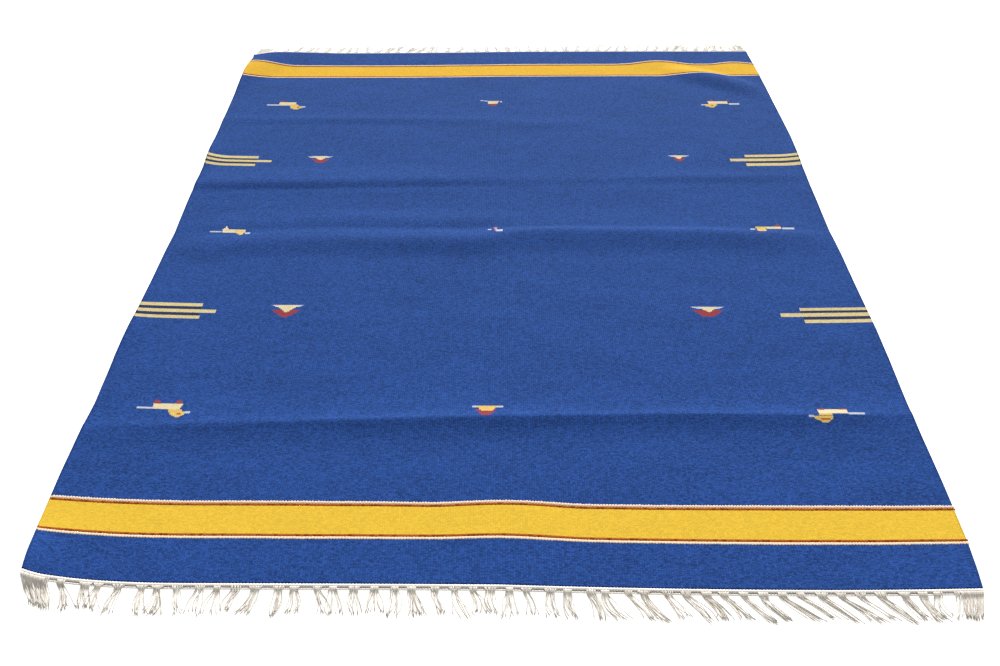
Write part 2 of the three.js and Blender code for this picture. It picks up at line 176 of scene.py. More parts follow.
# How high the cloth's underside lies above the floor
def liftAt(x, y):
    high = [creaseLift(crease, x, y) for crease in creases.values()]
    high += [foldLift(fold, x, y) for fold in folds.values()]
    return np.max(high, axis=0) + sum(curlLift(curl, x, y) for curl in curls)


def bySide(table, across, along):
    left = np.interp(along, table["along"], table["left"])
    return np.where(across < 0, left, np.interp(along, table["along"], table["right"]))


# Where a point of the weave lies on the floor
def lieOf(across, along):
    offCentre = np.abs(across)
    x = across * bySide(selvedges, across, along) / halfWide
    leanShare = 1 - np.maximum(0, 1 - offCentre / weftLean["reach"]) ** 2
    riseShare = np.maximum(0, 1 - (halfWide - offCentre) / weftRise["reach"]) ** 2
    y = along + bySide(weftLean, across, along) * leanShare + bySide(weftRise, across, along) * riseShare
    for bulge in bulges:
        beside = softBump((across - bulge["across"]) / bulge["wide"])
        y = y + bulge["shift"] * beside * softBump((along - bulge["along"]) / bulge["long"])
    return x, y


# The frame's origin is under the middle of the whole rug, fringes included, and the tables count from the
# middle of the cloth, so the box of its solid gives the shift between them
boxStations = 401
solidLow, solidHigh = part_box("rug_cloth")
edgeX = lieOf(*np.meshgrid([-halfWide, halfWide], np.linspace(-halfLong, halfLong, boxStations)))[0]
endY = lieOf(*np.meshgrid(np.linspace(-halfWide, halfWide, boxStations), [-halfLong, halfLong]))[1]
shift = np.array([
    (solidLow.x + solidHigh.x) / 2 / mm - (edgeX.min() + edgeX.max()) / 2,
    (solidLow.y + solidHigh.y) / 2 / mm - (endY.min() + endY.max()) / 2,
    0,
])
print("frame shift in mm", np.round(shift, 2).tolist())

# Camera, as the photograph was taken: place in metres, turns in degrees, lens and sensor in millimetres
eye = {"place": (0.0056, -2.1666, 1.2672), "pitch": 35.206, "yaw": 0.254, "roll": -0.068, "lens": 42.26,
       "sensor": 36, "sees": 100}
cameraData = bpy.data.cameras.new("camera")
camera = bpy.data.objects.new("camera", cameraData)
bpy.context.collection.objects.link(camera)
bpy.context.scene.camera = camera
cameraData.sensor_width = eye["sensor"]
cameraData.lens = eye["lens"]
cameraData.clip_end = eye["sees"]
pitch, yaw, roll = (math.radians(eye[name]) for name in ("pitch", "yaw", "roll"))
camera.matrix_world = (
    Matrix.Translation(Vector(eye["place"]) + Vector(shift * mm))
    @ Matrix.Rotation(yaw, 4, "Z")
    @ Matrix.Rotation(math.pi / 2 - pitch, 4, "X")
    @ Matrix.Rotation(roll, 4, "Z")
)

# Studio: white floor, white surround as fill, soft key light from behind the rug, in degrees and metres.
# The level is what a white face that looks up sends back
studio = {"fill": 0.46, "key": 5.7, "keyHigh": 24, "keyTurn": -6, "keySoft": 22, "level": 1.2,
          "floor": 0.93, "glow": 0.6, "rough": 0.9, "reach": 8, "below": 0.0003}
bpy.context.scene.view_settings.view_transform = "Standard"
world = bpy.data.worlds.new("studio")
world.use_nodes = True
world.node_tree.nodes["Background"].inputs["Color"].default_value = (1, 1, 1, 1)
world.node_tree.nodes["Background"].inputs["Strength"].default_value = studio["fill"]
bpy.context.scene.world = world
keyData = bpy.data.lights.new("key", "SUN")
keyData.energy = studio["key"]
keyData.angle = math.radians(studio["keySoft"])
key = bpy.data.objects.new("key", keyData)
key.rotation_euler = (math.radians(90 - studio["keyHigh"]), 0, math.radians(180 + studio["keyTurn"]))
bpy.context.collection.objects.link(key)

floorMesh = bpy.data.meshes.new("floor")
floorCorners = [(x * studio["reach"], y * studio["reach"], -studio["below"])
                for x, y in ((-1, -1), (1, -1), (1, 1), (-1, 1))]
floorMesh.from_pydata(floorCorners, [], [(0, 1, 2, 3)])
floor = bpy.data.objects.new("floor", floorMesh)
bpy.context.collection.objects.link(floor)
floorPaint = bpy.data.materials.new("floorPaint")
floorPaint.use_nodes = True
floorShader = floorPaint.node_tree.nodes["Principled BSDF"]
floorShader.inputs["Base Color"].default_value = (*[studio["floor"]] * 3, 1)
floorShader.inputs["Roughness"].default_value = studio["rough"]
floorShader.inputs["Emission Color"].default_value = (1, 1, 1, 1)
floorShader.inputs["Emission Strength"].default_value = studio["glow"]  # lit from below, as a sweep is
floorMesh.materials.append(floorPaint)
print("camera and studio made")


# Shader nodes. An input takes a link from another node, or a plain value
def feed(tree, socket, value):
    if isinstance(value, bpy.types.NodeSocket):
        tree.links.new(value, socket)
    else:
        socket.default_value = value


def addNode(tree, kind, inputs=None, **settings):
    node = tree.nodes.new(kind)
    for name, value in settings.items():
        setattr(node, name, value)
    for name, value in (inputs or {}).items():
        feed(tree, node.inputs[name], value)
    return node


def maths(tree, operation, *values):
    node = tree.nodes.new("ShaderNodeMath")
    node.operation = operation
    for socket, value in zip(node.inputs, values):
        feed(tree, socket, value)
    return node.outputs[0]


def newGroup(name, inputs, outputs):
    tree = bpy.data.node_groups.new(name, "ShaderNodeTree")
    for label, kind, value in inputs:
        socket = tree.interface.new_socket(label, in_out="INPUT", socket_type=kind)
        if value is not None:
            socket.default_value = value
    for label, kind in outputs:
        tree.interface.new_socket(label, in_out="OUTPUT", socket_type=kind)
    return tree, tree.nodes.new("NodeGroupInput").outputs, tree.nodes.new("NodeGroupOutput").inputs


def useGroup(tree, group, inputs=None):
    node = tree.nodes.new("ShaderNodeGroup")
    node.node_tree = group
    for name, value in (inputs or {}).items():
        feed(tree, node.inputs[name], value)
    return node.outputs


def noiseAt(tree, place, scale, detail, **inputs):
    node = addNode(tree, "ShaderNodeTexNoise", {"Vector": place, "Scale": scale, "Detail": detail, **inputs})
    return node.outputs["Fac"]


# The weave's own coordinates, in metres across and along
def weavePlace(tree):
    place = addNode(tree, "ShaderNodeUVMap", uv_map="weave").outputs["UV"]
    return place, addNode(tree, "ShaderNodeSeparateXYZ", {"Vector": place}).outputs


# The same coordinates, scaled on their own across and along
def stretched(tree, parts, scales):
    scaled = {axis: maths(tree, "MULTIPLY", parts[axis], scale) for axis, scale in zip("XY", scales)}
    return addNode(tree, "ShaderNodeCombineXYZ", scaled).outputs[0]


# A half wave for each whole step of a value
def halfWave(tree, value, whole):
    return maths(tree, "SINE", maths(tree, "MULTIPLY", maths(tree, "SUBTRACT", value, whole), math.pi))


# How the picks wander, how round a rib is, the noises that the dye follows (scale and detail), and how much
# painted shade darkens the valleys between ribs
weaveLook = {
    "wander": {"scale": 60, "detail": 1, "picks": 1.4}, "ribRound": 0.5, "pickFloor": 0.6,
    "fleck": {"scale": 520, "detail": 2}, "streak": {"scales": (9, 210), "detail": 3},
    "patch": {"scales": (4, 11), "detail": 5, "rough": 0.7},
    "loneShare": 0.6, "fleckShare": 0.9, "ribValleyShade": 0.16, "stitchLess": 0.35,
}


# Weft-faced flat weave: a rib over each warp, crossed by picks that step by half a pick at every rib
def makeFlatWeave():
    tree, given, result = newGroup(
        "flatWeave",
        [("Rib", "NodeSocketFloat", cloth["rib"] * mm), ("Pick", "NodeSocketFloat", cloth["pick"] * mm)],
        [(label, "NodeSocketFloat") for label in ("Height", "Stitch", "Streak", "Patch")],
    )
    place, parts = weavePlace(tree)
    wanderLook, fleckLook = weaveLook["wander"], weaveLook["fleck"]
    streakLook, patchLook = weaveLook["streak"], weaveLook["patch"]
    wander = noiseAt(tree, place, wanderLook["scale"], wanderLook["detail"])
    rib = maths(tree, "DIVIDE", parts["X"], given["Rib"])
    ribIndex = maths(tree, "FLOOR", rib)
    step = maths(tree, "MULTIPLY", maths(tree, "MODULO", ribIndex, 2), 0.5)
    pick = maths(tree, "ADD", maths(tree, "DIVIDE", parts["Y"], given["Pick"]), step)
    pick = maths(tree, "ADD", pick, maths(tree, "MULTIPLY", wander, wanderLook["picks"]))
    pickIndex = maths(tree, "FLOOR", pick)
    ribHigh = halfWave(tree, rib, ribIndex)
    pickHigh = maths(tree, "ADD", halfWave(tree, pick, pickIndex), weaveLook["pickFloor"])
    height = maths(tree, "MULTIPLY", maths(tree, "POWER", ribHigh, weaveLook["ribRound"]), pickHigh)
    cell = addNode(tree, "ShaderNodeCombineXYZ", {"X": ribIndex, "Y": pickIndex}).outputs[0]
    lone = addNode(tree, "ShaderNodeTexWhiteNoise", {"Vector": cell}, noise_dimensions="2D").outputs["Value"]
    fleck = noiseAt(tree, place, fleckLook["scale"], fleckLook["detail"])
    stitch = maths(tree, "ADD", maths(tree, "MULTIPLY", lone, weaveLook["loneShare"]),
                   maths(tree, "MULTIPLY", fleck, weaveLook["fleckShare"]))
    # Painted shade: the colour is darker in the valleys between ribs and lighter on their tops
    stitch = maths(tree, "ADD", stitch, maths(tree, "MULTIPLY", ribHigh, weaveLook["ribValleyShade"]))
    stitch = maths(tree, "SUBTRACT", stitch, weaveLook["stitchLess"])
    streak = noiseAt(tree, stretched(tree, parts, streakLook["scales"]), 1, streakLook["detail"])
    patch = noiseAt(tree, stretched(tree, parts, patchLook["scales"]), 1, patchLook["detail"],
                    Roughness=patchLook["rough"])
    for label, socket in (("Height", height), ("Stitch", stitch), ("Streak", streak), ("Patch", patch)):
        tree.links.new(socket, result[label])
    return tree


# How much each pattern brightens the dye, less a level that keeps its mean
dyeShares = {"Stitch": 0.9, "Streak": 0.16, "Patch": 0.35}
dyeLess = 0.205


# Dye that takes unevenly: from stitch to stitch, along a pick and over the cloth. For wool the Stitch input
# also carries painted shade in the valleys between ribs
def makeHeather():
    tree, given, result = newGroup(
        "heather",
        [("Deep", "NodeSocketColor", None), ("Bright", "NodeSocketColor", None),
         *[(label, "NodeSocketFloat", 0.5) for label in dyeShares]],
        [("Color", "NodeSocketColor")],
    )
    stitch, streak, patch = (
        maths(tree, "MULTIPLY", given[label], share) for label, share in dyeShares.items()
    )
    bright = maths(tree, "ADD", maths(tree, "ADD", stitch, streak), patch)
    bright = maths(tree, "SUBTRACT", bright, dyeLess)
    mixed = addNode(tree, "ShaderNodeMixRGB", {
        "Fac": bright, "Color1": given["Deep"], "Color2": given["Bright"]})
    tree.links.new(mixed.outputs["Color"], result["Color"])
    return tree


# Plied yarn: slanting grooves along a cord, and uneven bleaching
plyLook = {"turn": 3.0, "round": 2, "fleck": {"scale": 160, "detail": 3}}


def makePly():
    tree, given, result = newGroup(
        "ply",
        [("Turn", "NodeSocketFloat", plyLook["turn"])],
        [("Height", "NodeSocketFloat"), ("Fleck", "NodeSocketFloat")],
    )
    parts = weavePlace(tree)[1]
    turns = maths(tree, "ADD", maths(tree, "DIVIDE", maths(tree, "DIVIDE", parts["X"], mm), given["Turn"]),
                  maths(tree, "MULTIPLY", parts["Y"], plyLook["round"]))
    spot = addNode(tree, "ShaderNodeTexCoord").outputs["Object"]
    fleck = noiseAt(tree, spot, plyLook["fleck"]["scale"], plyLook["fleck"]["detail"])
    tree.links.new(halfWave(tree, turns, maths(tree, "FLOOR", turns)), result["Height"])
    tree.links.new(fleck, result["Fleck"])
    return tree


flatWeave = makeFlatWeave()
heather = makeHeather()
ply = makePly()


# A colour as the eye sees it under the studio's light, as a base colour: the usual screen curve undone
def linear(color, level=1.0):
    share = np.array(color) / 255
    light = np.where(share <= 0.04045, share / 12.92, ((share + 0.055) / 1.055) ** 2.4)
    return (*(light * level / studio["level"]).tolist(), 1.0)


# Wool as a whole, with heights in millimetres, then yarn colours as seen and how far their own shade varies
wool = {"rough": 0.92, "mirror": 0.03, "relief": 0.45, "deep": 0.5, "sheen": 0.06, "sheenRough": 0.5,
        "sheenTint": (0.36, 0.72, 1, 1)}
yarns = {
    "blue": {"color": (41, 76, 147), "vary": 0.72},
    "yellow": {"color": (241, 198, 66), "vary": 0.2, "relief": 0.25, "sheen": 0},
    "amber": {"color": (240, 189, 60), "vary": 0.2, "relief": 0.25, "sheen": 0},
    "cream": {"color": (234, 217, 172), "vary": 0.15},
    "gold": {"color": (230, 196, 108), "vary": 0.2},
    "straw": {"color": (226, 206, 146), "vary": 0.25},
    "pale": {"color": (200, 204, 216), "vary": 0.15},
    "crimson": {"color": (158, 62, 68), "vary": 0.25},
    "dullRed": {"color": (146, 72, 82), "vary": 0.25},
    "orange": {"color": (196, 104, 40), "vary": 0.2},
    "peach": {"color": (252, 226, 194), "vary": 0.1, "relief": 0.2, "sheen": 0},
    "rust": {"color": (182, 98, 36), "vary": 0.25, "sheen": 0},
    "bark": {"color": (148, 70, 22), "vary": 0.25, "sheen": 0},
    "navy": {"color": (44, 52, 92), "vary": 0.3},
    "pink": {"color": (206, 140, 150), "vary": 0.2},
}
yarnNames = list(yarns)


def newMaterial(name):
    material = bpy.data.materials.new(name)
    material.use_nodes = True
    return material, material.node_tree, material.node_tree.nodes["Principled BSDF"]


def makeWool(name, yarn):
    material, tree, shader = newMaterial("wool" + name[0].upper() + name[1:])
    pattern = useGroup(tree, flatWeave)
    dye = useGroup(tree, heather, {
        "Deep": linear(yarn["color"], 1 - yarn["vary"]), "Bright": linear(yarn["color"], 1 + yarn["vary"]),
        **{label: pattern[label] for label in dyeShares},
    })
    bump = addNode(tree, "ShaderNodeBump", {
        "Height": pattern["Height"], "Strength": yarn.get("relief", wool["relief"]),
        "Distance": wool["deep"] * mm})
    tree.links.new(dye["Color"], shader.inputs["Base Color"])
    tree.links.new(bump.outputs["Normal"], shader.inputs["Normal"])
    shader.inputs["Roughness"].default_value = wool["rough"]
    shader.inputs["Specular IOR Level"].default_value = wool["mirror"]
    shader.inputs["Sheen Weight"].default_value = yarn.get("sheen", wool["sheen"])
    shader.inputs["Sheen Roughness"].default_value = wool["sheenRough"]
    shader.inputs["Sheen Tint"].default_value = wool["sheenTint"]
    return material


cotton = {"rough": 0.85, "relief": 0.4, "deep": 0.3, "sheen": 0.03}


def makeCotton(name, color, vary):
    material, tree, shader = newMaterial(name)
    twist = useGroup(tree, ply)
    dye = useGroup(tree, heather, {
        "Deep": linear(color, 1 - vary), "Bright": linear(color, 1 + vary),
        "Stitch": twist["Fleck"], "Streak": twist["Height"], "Patch": twist["Fleck"],
    })
    bump = addNode(tree, "ShaderNodeBump", {
        "Height": twist["Height"], "Strength": cotton["relief"], "Distance": cotton["deep"] * mm})
    tree.links.new(dye["Color"], shader.inputs["Base Color"])
    tree.links.new(bump.outputs["Normal"], shader.inputs["Normal"])
    shader.inputs["Roughness"].default_value = cotton["rough"]
    shader.inputs["Sheen Weight"].default_value = cotton["sheen"]
    return material


woolMaterials = [makeWool(name, yarn) for name, yarn in yarns.items()]
headingCotton = makeCotton("headingCotton", (262, 257, 249), 0.08)
fringeCotton = makeCotton("fringeCotton", (243, 238, 227), 0.1)
# Grey cotton: in the heading it is painted shade in the gap between the cords; in the fringe it is partly
# greyer yarns, partly painted shade between strands
cottonGreyAndShade = makeCotton("cottonGreyAndShade", (230, 220, 207), 0.16)
print("materials made")

# The woven chart. Bands run from selvedge to selvedge
bands = [{"near": -909, "far": -837, "yarn": "yellow"}, {"near": 829, "far": 907, "yarn": "amber"}]
# Lines along both edges of a band, by their distance into it
edgeLines = {"peach": (-2.4, 1.2), "rust": (1.2, 6.4)}

# Motifs, each a stack of bars: yarn, then along, left and right where the bar starts, and where it stops
patchColumns = ("yarn", "near", "nearLeft", "nearRight", "far", "farLeft", "farRight")
patches = [
    ("pale", -608, -622, -590, -603, -624, -590),
    ("cream", -608, -594, -550, -592, -598, -546),
    ("dullRed", -593, -600, -585, -582, -595, -590),
    ("dullRed", -591, -563, -547, -581, -557, -552),
    ("gold", -614, -567, -543, -608, -569, -545),
    ("gold", -622, -562, -538, -614, -567, -538),
    ("gold", -631, -551, -546, -622, -563, -538),
    ("orange", -623, -551, -544, -618, -551, -544),
    ("pale", -619, -538, -529, -613, -538, -529),
    ("pale", -624, 521, 530, -619, 521, 530),
    ("gold", -620, 539, 562, -613, 540, 562),
    ("gold", -627, 530, 561, -621, 530, 562),
    ("gold", -636, 543, 550, -627, 531, 561),
    ("cream", -614, 540, 590, -600, 540, 590),
    ("orange", -630, 540, 556, -626, 540, 556),
    ("dullRed", -602, 542, 552, -597, 543, 551),
    ("dullRed", -601, 577, 591, -597, 580, 590),
    ("pale", -617, 590, 618, -611, 590, 618),
    ("pale", -601, -49, 4, -596, -49, 4),
    ("crimson", -628, -32, -19, -607, -43, -8),
    ("gold", -612, -33, -15, -596, -42, -5),
    ("pale", -291, -434, -390, -284, -444, -381),
    ("crimson", -327, -415, -411, -316, -428, -396),
    ("crimson", -316, -428, -396, -301, -440, -387),
    ("cream", -309, -414, -410, -285, -436, -390),
    ("pale", -290, 374, 418, -283, 363, 428),
    ("crimson", -316, 384, 404, -294, 366, 424),
    ("cream", -301, 396, 398, -285, 378, 415),
    ("pale", -7, -625, -600, -2, -625, -600),
    ("cream", -8, -597, -549, 6, -600, -549),
    ("gold", -21, -558, -554, 2, -575, -552),
    ("pale", -15, -548, -537, -7, -548, -537),
    ("peach", 6, -597, -587, 17, -593, -591),
    ("pale", -4, -30, -22, 2, -30, -22),
    ("pink", -10, -14, -11, 12, -17, -10),
    ("pale", -14, -12, 2, -3, -12, 2),
    ("pale", -1, 531, 541, 5, 531, 541),
    ("gold", -9, 547, 563, 14, 543, 567),
    ("cream", 4, 567, 598, 14, 567, 598),
    ("dullRed", 14, 586, 598, 26, 590, 595),
    ("pale", 2, 600, 626, 10, 600, 626),
    ("pale", 347, -452, -411, 354, -461, -402),
    ("crimson", 322, -438, -421, 341, -450, -410),
    ("cream", 336, -432, -428, 356, -452, -413),
    ("pale", 345, 400, 432, 352, 389, 445),
    ("crimson", 322, 412, 421, 340, 403, 430),
    ("cream", 334, 415, 419, 352, 402, 430),
    ("pale", 643, -604, -573, 650, -604, -573),
    ("cream", 644, -573, -530, 664, -573, -530),
    ("gold", 640, -543, -520, 651, -545, -527),
    ("gold", 629, -541, -511, 640, -543, -512),
    ("gold", 621, -532, -524, 629, -541, -513),
    ("orange", 630, -525, -519, 638, -525, -519),
    ("pale", 633, -512, -504, 640, -512, -504),
    ("dullRed", 664, -573, -559, 673, -568, -564),
    ("pale", 669, -57, -47, 673, -57, -47),
    ("pale", 666, -46, -38, 671, -46, -38),
    ("pale", 660, -6, -1, 666, -6, -1),
    ("cream", 650, -35, -14, 668, -38, -8),
    ("crimson", 638, -28, -18, 651, -37, -12),
    ("pale", 635, 511, 520, 641, 511, 520),
    ("gold", 642, 530, 553, 653, 532, 555),
    ("gold", 630, 521, 549, 642, 520, 552),
    ("gold", 622, 535, 541, 630, 522, 548),
    ("cream", 645, 532, 581, 660, 530, 581),
    ("dullRed", 660, 533, 548, 672, 539, 543),
    ("dullRed", 660, 578, 586, 668, 580, 584),
    ("orange", 630, 536, 541, 638, 536, 541),
    ("pale", 639, 583, 610, 648, 583, 610),
]
# Combs at the selvedges, longest bar in the middle: the bars' ends and their two edges along the rug
combColumns = ("left", "right", "near", "far")
combs = [
    [(-702, -577, -292, -281), (-702, -547, -313, -302), (-702, -574, -333, -323)],
    [(571, 702, -297, -288), (531, 702, -317, -305), (572, 702, -338, -327)],
    [(-702, -578, 342, 354), (-702, -545, 324, 334), (-702, -581, 303, 314)],
    [(573, 702, 343, 355), (536, 702, 322, 335), (571, 702, 297, 311)],
]
motifBars = [dict(zip(patchColumns, row)) for row in patches]
combBars = [[dict(zip(combColumns, row)) for row in comb] for comb in combs]


# Which yarn shows at a place of the weave, by its number in the list of yarns
def yarnAt(across, along):
    found = np.zeros(np.broadcast(across, along).shape, int)
    for band in bands:
        inward = np.minimum(along - band["near"], band["far"] - along) + 0 * across
        found[inward > 0] = yarnNames.index(band["yarn"])
        for name, (start, stop) in edgeLines.items():
            found[(inward > start) & (inward < stop)] = yarnNames.index(name)
    for bars in combBars:
        shortLeft = max(bar["left"] for bar in bars)
        shortRight = min(bar["right"] for bar in bars)
        low, high = min(bar["near"] for bar in bars), max(bar["far"] for bar in bars)
        inside = (across > shortLeft) & (across < shortRight) & (along > low) & (along < high)
        found[inside] = yarnNames.index("navy")
        for bar in bars:
            inside = (across > bar["left"]) & (across < bar["right"])
            found[inside & (along > bar["near"]) & (along < bar["far"])] = yarnNames.index("straw")
    for bar in motifBars:
        share = (along - bar["near"]) / (bar["far"] - bar["near"])
        left = bar["nearLeft"] + share * (bar["farLeft"] - bar["nearLeft"])
        right = bar["nearRight"] + share * (bar["farRight"] - bar["nearRight"])
        found[(share > 0) & (share < 1) & (across > left) & (across < right)] = yarnNames.index(bar["yarn"])
    return found


# Mesh lines: close together at a motif or a crest, wide elsewhere, with a narrow strip along the edges.
# The underside has only one line for several of the upper face's
meshStep = {"fineAcross": 4.2, "fineAlong": 2.6, "crest": 5, "wide": 14, "strip": 2, "slack": 0.01,
            "under": 4}
crests = [(-668, -598), (-62, 44), (186, 262)]


def meshLines(end, stretches, fixed):
    edges = [min(max(edge, -end), end) for stretch in stretches for edge in stretch[:2]]
    marks = sorted({-end, end, *fixed, *edges})
    lines = [-end]
    for start, stop in zip(marks, marks[1:]):
        middle = (start + stop) / 2
        step = min([meshStep["wide"], *[step for low, high, step in stretches if low <= middle <= high]])
        cells = max(1, math.ceil((stop - start) / step - meshStep["slack"]))
        lines += [start + (stop - start) * (k + 1) / cells for k in range(cells)]
    return np.array(lines)


fineAcross, fineAlong, strip = meshStep["fineAcross"], meshStep["fineAlong"], meshStep["strip"]
columnStretches = [
    (min(bar["nearLeft"], bar["farLeft"]), max(bar["nearRight"], bar["farRight"]), fineAcross)
    for bar in motifBars
]
columnStretches += [(bar["left"], bar["right"], fineAcross) for bars in combBars for bar in bars]
rowStretches = [(bar["near"], bar["far"], fineAlong) for bar in motifBars]
rowStretches += [
    (min(bar["near"] for bar in bars), max(bar["far"] for bar in bars), fineAlong) for bars in combBars
]
rowStretches += [(low, high, meshStep["crest"]) for low, high in crests]
barEdges = [bar[edge] for bars in combBars for bar in bars for edge in ("near", "far")]
lineCuts = {cut for line in edgeLines.values() for cut in line}
bandEdges = [line for band in bands for cut in lineCuts for line in (band["near"] + cut, band["far"] - cut)]
columnLines = meshLines(halfWide, columnStretches, (-halfWide + strip, halfWide - strip))
rowLines = meshLines(halfLong, rowStretches, (*bandEdges, *barEdges, -halfLong + strip, halfLong - strip))
print("cloth mesh", len(columnLines), "by", len(rowLines))


# A slight waviness: its height, and the lengths across and along that its waves and their bends grow with
broadWave = {"high": 0.22, "across": 61, "along": 47, "bendAlong": 143, "bendAcross": 171,
             "bends": (1.3, 0.8)}
fineWave = {"high": 0.14, "across": 23, "along": 19, "slantAlong": 89, "slantAcross": 131}


# Height of the cloth's upper face
def topAt(x, y):
    broadX = np.sin(x / broadWave["across"] + broadWave["bends"][0] * np.sin(y / broadWave["bendAlong"]))
    broadY = np.sin(y / broadWave["along"] + broadWave["bends"][1] * np.sin(x / broadWave["bendAcross"]))
    fineX = np.sin(x / fineWave["across"] + y / fineWave["slantAlong"])
    fineY = np.sin(y / fineWave["along"] - x / fineWave["slantAcross"])
    wave = broadWave["high"] * broadX * broadY + fineWave["high"] * fineX * fineY
    return liftAt(x, y) + cloth["thick"] + wave


# A mesh with its weave coordinates, and a material for each face
def makeObject(name, points, faces, uvs, materials, faceMaterials):
    data = bpy.data.meshes.new(name)
    data.from_pydata(((np.asarray(points) + shift) * mm).tolist(), [], faces)
    layer = data.uv_layers.new(name="weave")
    corners = np.zeros(len(data.loops), int)
    data.loops.foreach_get("vertex_index", corners)
    layer.data.foreach_set("uv", np.asarray(uvs, float)[corners].ravel())
    for material in materials:
        data.materials.append(material)
    data.polygons.foreach_set("material_index", np.asarray(faceMaterials, np.int32))
    data.polygons.foreach_set("use_smooth", np.full(len(data.polygons), True))
    data.update()
    piece = bpy.data.objects.new(name, data)
    bpy.context.collection.objects.link(piece)
    return piece


# Upper face, underside and four edges, closed. Each face takes the yarn at its middle
def makeCloth():
    across, along = np.meshgrid(columnLines, rowLines)
    x, y = lieOf(across, along)
    top = np.stack([x, y, topAt(x, y)], -1).reshape(-1, 3)
    pickColumns = sorted({*range(0, len(columnLines), meshStep["under"]), len(columnLines) - 1})
    pickRows = sorted({*range(0, len(rowLines), meshStep["under"]), len(rowLines) - 1})
    picked = np.ix_(pickRows, pickColumns)
    lowX, lowY = x[picked], y[picked]
    under = np.stack([lowX, lowY, liftAt(lowX, lowY)], -1).reshape(-1, 3)
    wide = len(columnLines)
    lowWide = len(pickColumns)
    faces = []
    for row in range(len(rowLines) - 1):
        base = row * wide
        faces += [(base + k, base + k + 1, base + wide + k + 1, base + wide + k) for k in range(wide - 1)]
    midAcross = (columnLines[:-1] + columnLines[1:]) / 2
    midAlong = (rowLines[:-1] + rowLines[1:]) / 2
    faceYarns = yarnAt(*np.meshgrid(midAcross, midAlong)).ravel().tolist()
    start = len(top)
    for row in range(len(pickRows) - 1):
        base = start + row * lowWide
        faces += [(base + k, base + lowWide + k, base + lowWide + k + 1, base + k + 1)
                  for k in range(lowWide - 1)]
        lowAlong = (rowLines[pickRows[row]] + rowLines[pickRows[row + 1]]) / 2
        lowAcross = (columnLines[pickColumns[:-1]] + columnLines[pickColumns[1:]]) / 2
        faceYarns += yarnAt(lowAcross, np.full_like(lowAcross, lowAlong)).tolist()
    lastRow = (len(rowLines) - 1) * wide
    lastLow = start + (len(pickRows) - 1) * lowWide
    for k, (a, b) in enumerate(zip(pickColumns, pickColumns[1:])):
        faces.append((start + k, start + k + 1, *range(b, a - 1, -1)))
        faces.append((lastLow + k + 1, lastLow + k, *range(lastRow + a, lastRow + b + 1)))
    for k, (a, b) in enumerate(zip(pickRows, pickRows[1:])):
        faces.append((start + (k + 1) * lowWide, start + k * lowWide, *range(a * wide, b * wide + 1, wide)))
        right = [row * wide + wide - 1 for row in range(b, a - 1, -1)]
        faces.append((start + k * lowWide + lowWide - 1, start + (k + 1) * lowWide + lowWide - 1, *right))
    faceYarns += [0] * (len(faces) - len(faceYarns))
    lowUv = np.stack([across[picked], along[picked]], -1).reshape(-1, 2)
    uvs = np.concatenate([np.stack([across, along], -1).reshape(-1, 2), lowUv]) * mm
    return makeObject("clothWeave", np.concatenate([top, under]), faces, uvs, woolMaterials, faceYarns)


weave = makeCloth()
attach(weave, "root")
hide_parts("rug_cloth")
print("cloth", len(weave.data.polygons), "faces")


# Cords and yarns: rings of points round a path, gathered into one mesh
def newPile():
    return {"points": [], "faces": [], "uvs": [], "paints": [], "count": 0}


# Radius and paint are one value, or one for each point. Flat is a cord's height by its width
def addCord(pile, path, radius, sides, paint, uvs=None, flat=1.0):
    path = np.asarray(path, float)
    ahead = np.gradient(path, axis=0)
    ahead /= np.linalg.norm(ahead, axis=1)[:, None]
    aside = np.cross(ahead, (0, 0, 1))
    aside /= np.linalg.norm(aside, axis=1)[:, None]
    over = np.cross(aside, ahead)
    turn = np.arange(sides) * 2 * np.pi / sides
    radius = np.broadcast_to(radius, len(path))[:, None, None]
    ring = np.cos(turn)[None, :, None] * aside[:, None] + flat * np.sin(turn)[None, :, None] * over[:, None]
    points = path[:, None] + radius * ring
    if uvs is None:
        run = np.concatenate([[0], np.cumsum(np.linalg.norm(np.diff(path, axis=0), axis=1))]) * mm
        uvs = np.stack(np.broadcast_arrays(run[:, None], turn[None, :] / 2 / np.pi), -1)
    base = pile["count"]
    for k in range(len(path) - 1):
        a = base + k * sides
        pile["faces"] += [(a + s, a + (s + 1) % sides, a + sides + (s + 1) % sides, a + sides + s)
                          for s in range(sides)]
        pile["paints"] += [paint if isinstance(paint, int) else int(paint[k])] * sides
    last = base + (len(path) - 1) * sides
    pile["faces"] += [tuple(range(base + sides - 1, base - 1, -1)), tuple(range(last, last + sides))]
    pile["paints"] += [pile["paints"][-1]] * 2
    pile["points"].append(points.reshape(-1, 3))
    pile["uvs"].append(np.asarray(uvs).reshape(-1, 2))
    pile["count"] += len(path) * sides


def finishPile(pile, name, materials, node):
    piece = makeObject(name, np.concatenate(pile["points"]), pile["faces"], np.concatenate(pile["uvs"]),
                       materials, pile["paints"])
    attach(piece, "root")
    if node:
        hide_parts(node)
    print(name, len(piece.data.polygons), "faces")
    return piece


# Selvedges: the wefts turn back round the outermost warps
selvedge = {"radius": 2.05, "swell": 0.16, "turn": 3.4, "stationsPerTurn": 4, "sides": 7,
            "inset": 1.7, "raised": 0.4, "short": 1, "weaveRound": 15}


